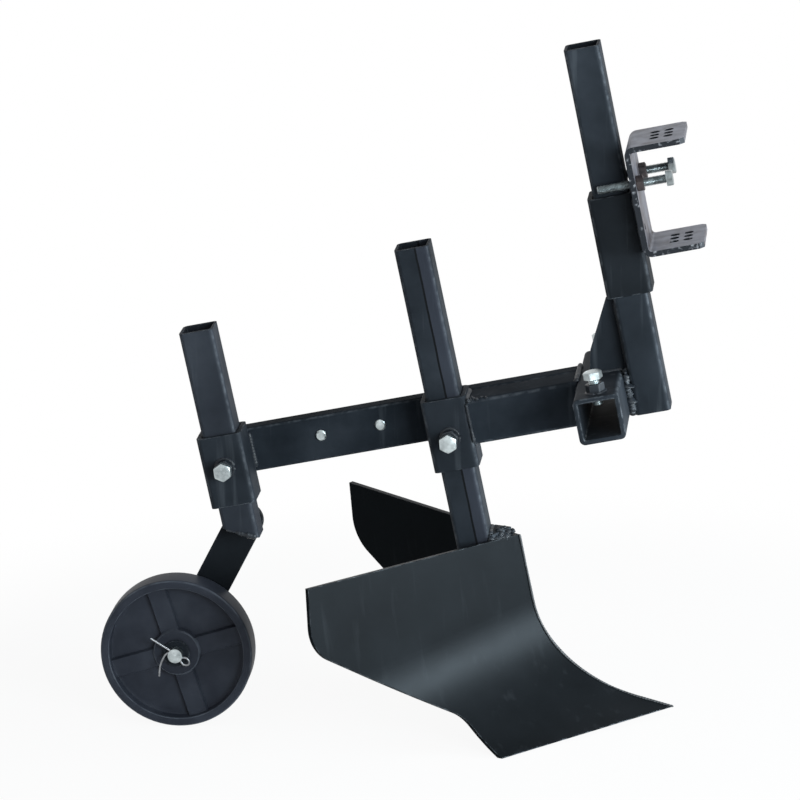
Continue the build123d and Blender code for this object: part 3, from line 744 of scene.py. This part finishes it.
# each lot of beads with its first seed and how uneven it is
beadLots = {
    "frame": (0, 1.0), "gap": (20, 2.2), "sleeveNuts": (30, 1.5), "socketNuts": (33, 1.5), "hitch": (40, 1.0),
    "leg": (60, 1.0), "foot": (66, 2.4), "ridge": (79, 1.6), "plough": (80, 1.0), "noseNear": (83, 2.0),
    "noseFar": (85, 2.0), "blobs": (90, 2.0), "drips": (130, 2.5), "spatter": (150, 2.0),
}


def beadSheet(corners, size, outward, seed, uneven):
    # bead carried along straight runs: its size swells at each ripple, wanders slowly and closes at both ends
    corners = np.asarray(corners, float)
    lengths = np.linalg.norm(np.diff(corners, axis=0), axis=1)
    marks = np.concatenate([[0], np.cumsum(lengths)])
    count = max(int(marks[-1] / beadShape["step"]), beadShape["fewest"])
    along = np.linspace(0, marks[-1], count)
    path = np.stack([np.interp(along, marks, corners[:, i]) for i in range(3)], -1)
    chance = np.random.default_rng(seed)
    knots = np.linspace(0, marks[-1], beadShape["knots"])
    slow = np.interp(along, knots, chance.normal(0, uneven * beadShape["wander"], beadShape["knots"]))
    angles = np.linspace(0, 2 * np.pi, beadShape["columns"], endpoint=False)[None, :]
    turn = beadShape["lean"] * np.cos(angles) + chance.uniform(0, beadShape["phase"])
    wave = np.sin(2 * np.pi * along[:, None] / beadShape["ripple"] + turn)
    fromEnd = np.minimum(along, marks[-1] - along) / size
    close = np.sqrt(np.clip(1 - (1 - np.clip(fromEnd, 0, 1)) ** 2, beadShape["least"], 1))
    radii = size * close[:, None] * (1 + slow[:, None] + beadShape["depth"] * wave)
    return tubeSheet(path, radii, outward, beadShape["columns"], beadShape["flat"])


def beadsOf(lot, rows):
    # one bead for each row of corner points, size and the side that it faces
    first, uneven = beadLots[lot]
    return [beadSheet(*row, first + number, uneven) for number, row in enumerate(rows)]


def makeWelds(name, sheets, body, finish=weldBlack):
    makePiece(name, sheets, body, "black_paint", (), beadShape["sharp"], finish)


def ringPath(origin, axis, radius, count=40):
    # circle of points round an axis
    turn = np.linspace(0, 2 * np.pi, count)
    return turnedOn(origin, axis, np.stack([radius * np.cos(turn), radius * np.sin(turn), 0 * turn], -1))


tubeRear = halfSleeve
frameBeads = [
    ([(tubeRear, -22, 25), (tubeRear, 22, 25)], 3.2, (1, 0, 1)),
    ([(tubeRear, -25, -22), (tubeRear, -25, 22)], 1.8, (1, -1, 0)),
    ([(tubeRear, -22, -25), (tubeRear, 22, -25)], 3.2, (1, 0, -1)),
    ([(socketRear, -22, 25), (socketRear, 48, 25)], 3.4, (-1, 0, 1)),
    ([(socketRear, -25, -20), (socketRear, -25, 20)], 3.4, (-1, -1, 0)),
    ([(socketRear, -22, -25), (socketRear, 48, -25)], 3.4, (-1, 0, -1)),
    ([(socketRear, 50, -20), (socketRear, 50, 20)], 3.2, (-1, 1, 0)),
    ([(postRear, -4, 30), (postRear, -4, 100)], 2.8, (-1, -1, 0)),
    ([(postRear, 4, 30), (postRear, 4, 100)], 2.8, (-1, 1, 0)),
    ([(postRear - 40, -4, 25), (postRear - 4, -4, 25)], 2.8, (0, -1, 1)),
    ([(postRear - 40, 4, 25), (postRear - 4, 4, 25)], 2.8, (0, 1, 1)),
]
# sleeves on the beam: one upright bead on the side where the beam runs on, and one above and below
for station, end in ((stations["rear"], 1), (stations["shank"], -1)):
    edge = station + end * halfSleeve
    frameBeads.append(([(edge, 25, -20), (edge, 25, 20)], 3.0, (end, -1, 0)))
    for face in (1, -1):
        frameBeads.append(([(station - 17, 25, 25 * face), (station + 17, 25, 25 * face)], 2.8, (0, 1, face)))
# heavy uneven runs that bridge the gap between the socket and the post
gapMiddle = postRear - socketGap / 2
gapBeads = [
    ([(gapMiddle, -18, -21), (gapMiddle, -18, 22)], 3.8, (-1, -1, 0)),
    ([(gapMiddle, 18, -21), (gapMiddle, 18, 22)], 3.8, (-1, 1, 0)),
    ([(gapMiddle, -18, 23), (gapMiddle, -5, 23)], 3.8, (-1, 0, 1)),
    ([(gapMiddle, 5, 23), (gapMiddle, 18, 23)], 3.8, (-1, 0, 1)),
    ([(gapMiddle, -18, -22), (gapMiddle, 18, -22)], 3.8, (0, 0, -1)),
]
# drips beside the near run: height, size, distance off the post's near face
gapDrips = [(-17, 4.6, 0.5), (-8, 5.4, 1.5), (1, 4.2, 0.5), (9, 5.8, 2.0), (18, 4.8, 1.0)]
dripBeads = [
    ([(gapMiddle - 1, -halfUpright - off, high - size), (gapMiddle + 1, -halfUpright - off, high + size)],
     size, (0, -1, 0))
    for high, size, off in gapDrips
]
# spatter on the front tube's top beside the middle sleeve: ahead, across, size
spatter = [(28, -23, 3.4), (33, -20, 2.6), (37, -23.5, 2.2), (42, -19, 1.8), (30, -12, 2.2), (47, -23, 1.5)]
spatterLevel = 24.6
spatterBeads = [([(x - size, y, spatterLevel), (x + size, y + 1, spatterLevel)], size, (0, 0, 1))
                for x, y, size in spatter]
# rings round the nuts' feet
nutBead = {"radius": 9.9, "size": 2.0}
nutSeats = [row[1:3] for row in sleeveBolts["seats"]]
nutSeats += [((socketStation, side * socketSide, halfSleeve), (0, 0, 1)) for side, spin in socketBolts["sides"]]
rearRing, middleRing, hitchRing, *socketRings = [
    (ringPath(seat, face, nutBead["radius"]), nutBead["size"], face) for seat, face in nutSeats
]
frameSheets = beadsOf("frame", frameBeads) + beadsOf("gap", gapBeads) + beadsOf("drips", dripBeads)
frameSheets += beadsOf("spatter", spatterBeads)
frameSheets += beadsOf("sleeveNuts", (rearRing, middleRing)) + beadsOf("socketNuts", socketRings)
makeWelds("frameWelds", frameSheets, "frame")

hitchFront = stations["post"] + halfSleeve
hitchBeads = [
    ([(hitchFront, -25, 152), (hitchFront, -25, 214)], 3.4, (1, -1, 0)),
    ([(hitchFront, 25, 152), (hitchFront, 25, 214)], 3.4, (1, 1, 0)),
    ([(hitchFront, -20, 150), (hitchFront, 20, 150)], 3.2, (1, 0, -1)),
    ([(hitchFront, -20, 218), (hitchFront, 20, 218)], 3.2, (-1, 0, 1)),
    hitchRing,
]
makeWelds("hitchWelds", beadsOf("hitch", hitchBeads), "hitch")

rear = stations["rear"]
armTop = [(rear - 17, 19, -62), (rear - 8, 19, -56.5), (rear + 8, 19, -56.5), (rear + 17, 19, -62)]
axleRing = ringPath((wheel["station"], 27, wheel["height"]), (0, 1, 0), 9)
legBeads = [
    (armTop, 2.8, (0, 1, 1)),
    ([(rear - 17, 19, -72), (rear + 17, 19, -88)], 3.0, (0, -1, -1)),
    (axleRing, 2.6, (0, 1, 0)),
]
# uneven runs under the leg's slanted foot
footBeads = [
    ([(rear - 15, -17.5, -73.5), (rear, -18, -80)], 2.2, (0, -1, -1)),
    ([(rear - 3, -18, -79), (rear + 17, -18, -87.5)], 3.0, (0, -1, -1)),
    ([(rear + 6, -15, -84), (rear + 17, -13, -88)], 2.8, (0, -1, -1)),
]
makeWelds("legWelds", beadsOf("leg", legBeads) + beadsOf("foot", footBeads), "leg")

ridge = {
    "top": -139.0, "front": 49.07, "rear": 42.0, "seat": 23.0, "rollStart": -215.0, "rollRadius": 162.0, "tip": -363.0,
    "rollTurn": math.radians(55), "sweep": math.radians(45), "noseTop": -129.0, "proud": 0.3, "points": 60, "bead": 1.6,
}


def ridgeLine():
    # ridge in the middle plane: an upright run, an arc stretched by the sweep, then a straight toe
    roll = np.linspace(0, ridge["rollTurn"], ridge["points"])
    ahead = ridge["rollRadius"] * (1 - np.cos(roll)) / math.sin(ridge["sweep"])
    down = ridge["rollStart"] - ridge["rollRadius"] * np.sin(roll)
    toeDrop = down[-1] - ridge["tip"]
    toeRun = toeDrop * math.tan(ridge["rollTurn"]) / math.sin(ridge["sweep"])
    forward = np.concatenate([[0], ahead, [ahead[-1] + toeRun]]) + ridge["front"] + ridge["proud"]
    heights = np.concatenate([[ridge["top"]], down, [ridge["tip"]]])
    return np.stack([forward, 0 * forward, heights], -1)


makeWelds("ridgeBead", beadsOf("ridge", [(ridgeLine(), ridge["bead"], (1, 0, 0.4))]), "plough", ridgeMetal)
noseTop = ridge["noseTop"]
ploughBeads = [
    ([(20, -19, -131), (20, -19, -205)], 3.0, (0, -1, 0)),
    ([(20, 19, -131), (20, 19, -205)], 3.0, (0, 1, 0)),
    ([(19.5, -17, noseTop), (19.5, 17, noseTop)], 3.2, (0, 0, 1)),
]
ploughSheets = beadsOf("plough", ploughBeads)
for lot, side in (("noseNear", -1), ("noseFar", 1)):
    noseRun = [(ridge["seat"] - 1, side * 19, -135.5), (ridge["rear"] - 2, side * 3, -137)]
    ploughSheets += beadsOf(lot, [(noseRun, 4.8, (0.3, side, 1))])
blobBeads = [
    ([(26, -9, noseTop), (33, -3, noseTop)], 3.4, (0.4, 0, 1)),
    ([(31, 2, noseTop), (37, -1, noseTop)], 3.4, (0.4, 0, 1)),
    ([(41, 0, -138), (43.5, 0, -131)], 4.4, (0.4, 0, 1)),
    ([(36, -7, -134), (40, -3, -131)], 3.6, (0.4, 0, 1)),
    ([(29, -13, -133), (33, -9, -130)], 3.2, (0.4, 0, 1)),
]
makeWelds("ploughWelds", ploughSheets + beadsOf("blobs", blobBeads), "plough")
print("weld beads made")


# Floor, light and camera

studio = {
    "floor": (0.93, 0.93, 0.93), "floorHalf": 12.0, "floorRough": 0.9, "sky": 0.20, "white": 1.0, "faint": 0.93,
    "fade": (0.55, 0.95), "cool": (0.84, 0.95, 1.0), "aim": (0.0, 0.0, 0.33),
    "key": {"place": (2.85, -0.65, 0.60), "size": (1.5, 0.55), "power": 112},
    "top": {"place": (0.3, -0.7, 2.8), "size": (2.0, 1.6), "power": 8},
    "front": {"place": (2.0, -2.6, 1.1), "size": (1.6, 1.3), "power": 102},
}


def seenDirectly(nodes, links):
    # 1 for rays from the camera and for mirrored or clear ones, 0 for the light that fills the room
    rays = nodes.new("ShaderNodeLightPath")
    seen = rays.outputs["Is Camera Ray"]
    for name in ("Is Glossy Ray", "Is Transmission Ray"):
        seen = mathOn(nodes, links, "MAXIMUM", seen, rays.outputs[name])
    return seen


floorMesh = bpy.data.meshes.new("floor")
half = studio["floorHalf"]
floorMesh.from_pydata([(-half, -half, 0), (half, -half, 0), (half, half, 0), (-half, half, 0)], [], [(0, 1, 2, 3)])
floor = bpy.data.objects.new("floor", floorMesh)
bpy.context.scene.collection.objects.link(floor)
floorPaint, floorNodes, floorLinks, floorShader = newMaterial("floorPaint")
floorShader.inputs["Base Color"].default_value = (*studio["floor"], 1)
floorShader.inputs["Roughness"].default_value = studio["floorRough"]
floorShader.inputs["Specular IOR Level"].default_value = 0.0
# the floor shows as paper white, with a share of its own light and shadow left near the machine
floorCoords = floorNodes.new("ShaderNodeTexCoord")
away = floorNodes.new("ShaderNodeVectorMath")
away.operation = "LENGTH"
floorLinks.new(floorCoords.outputs["Object"], away.inputs[0])
fade = floorNodes.new("ShaderNodeMapRange")
fade.interpolation_type = "SMOOTHSTEP"
fade.inputs["From Min"].default_value, fade.inputs["From Max"].default_value = studio["fade"]
fade.inputs["To Min"].default_value = studio["faint"]
floorLinks.new(away.outputs["Value"], fade.inputs["Value"])
seen = seenDirectly(floorNodes, floorLinks)
whiteShare = mathOn(floorNodes, floorLinks, "MULTIPLY", fade.outputs["Result"], seen)
paper = floorNodes.new("ShaderNodeEmission")
paper.inputs["Strength"].default_value = studio["white"]
floorMix = floorNodes.new("ShaderNodeMixShader")
floorLinks.new(whiteShare, floorMix.inputs[0])
floorLinks.new(floorShader.outputs["BSDF"], floorMix.inputs[1])
floorLinks.new(paper.outputs["Emission"], floorMix.inputs[2])
floorLinks.new(floorMix.outputs["Shader"], floorNodes["Material Output"].inputs["Surface"])
floorMesh.materials.append(floorPaint)

world = bpy.data.worlds.new("studioWorld")
world.use_nodes = True
bpy.context.scene.world = world
worldNodes, worldLinks = world.node_tree.nodes, world.node_tree.links
background = worldNodes["Background"]
background.inputs["Color"].default_value = (1, 1, 1, 1)
seen = seenDirectly(worldNodes, worldLinks)
worldLinks.new(spanOn(worldNodes, worldLinks, seen, studio["sky"], studio["white"]), background.inputs["Strength"])


def placedAt(place, right, back):
    # matrix of a lamp or camera from its place, its right and the way back from its view
    matrix = np.eye(4)
    matrix[:3, 0], matrix[:3, 1], matrix[:3, 2], matrix[:3, 3] = right, np.cross(back, right), back, place
    return Matrix(matrix.tolist())


def facing(place, target):
    # back is away from the target, and right is level with the floor
    back = np.asarray(place, float) - target
    back /= np.linalg.norm(back)
    right = np.cross((0, 0, 1), back)
    return placedAt(place, right / np.linalg.norm(right), back)


for name in ("key", "top", "front"):
    lamp = bpy.data.lights.new(name, "AREA")
    lamp.shape = "RECTANGLE"
    lamp.size, lamp.size_y = studio[name]["size"]
    lamp.energy = studio[name]["power"]
    lamp.color = studio["cool"]
    lampObject = bpy.data.objects.new(name, lamp)
    lampObject.matrix_world = facing(studio[name]["place"], studio["aim"])
    bpy.context.scene.collection.objects.link(lampObject)

# The photograph's camera: a level view of a machine that leans back further than this one stands
view = {
    "azimuth": 6.3, "elevation": 15.2, "lean": 11.9, "distance": 4395.0, "aim": (-79.4, 0.0, 31.5), "focal": 4036.6,
    "shift": (-27.0, 6.1), "picture": 800.0, "sensor": 36.0, "clip": 100.0,
}
azimuth, elevation, lean = (math.radians(view[key]) for key in ("azimuth", "elevation", "lean"))
levelOut = math.cos(elevation)
levelBack = np.array([math.sin(azimuth) * levelOut, -math.cos(azimuth) * levelOut, math.sin(elevation)])
levelRight = np.array([math.cos(azimuth), math.sin(azimuth), 0.0])
leaned = np.array([[math.cos(lean), 0, math.sin(lean)], [0, 1, 0], [-math.sin(lean), 0, math.cos(lean)]])
back, right = (vector @ leaned.T @ axes for vector in (levelBack, levelRight))
cameraPlace = stand(view["aim"]) + back * view["distance"] / 1000
camera = bpy.data.cameras.new("camera")
camera.sensor_width = view["sensor"]
camera.lens = view["focal"] / view["picture"] * camera.sensor_width
camera.shift_x = -view["shift"][0] / view["picture"]
camera.shift_y = view["shift"][1] / view["picture"]
camera.clip_end = view["clip"]
cameraObject = bpy.data.objects.new("camera", camera)
cameraObject.matrix_world = placedAt(cameraPlace, right, back)
bpy.context.scene.collection.objects.link(cameraObject)
bpy.context.scene.camera = cameraObject
bpy.context.scene.view_settings.view_transform = "Standard"
print("floor, lights and camera made")
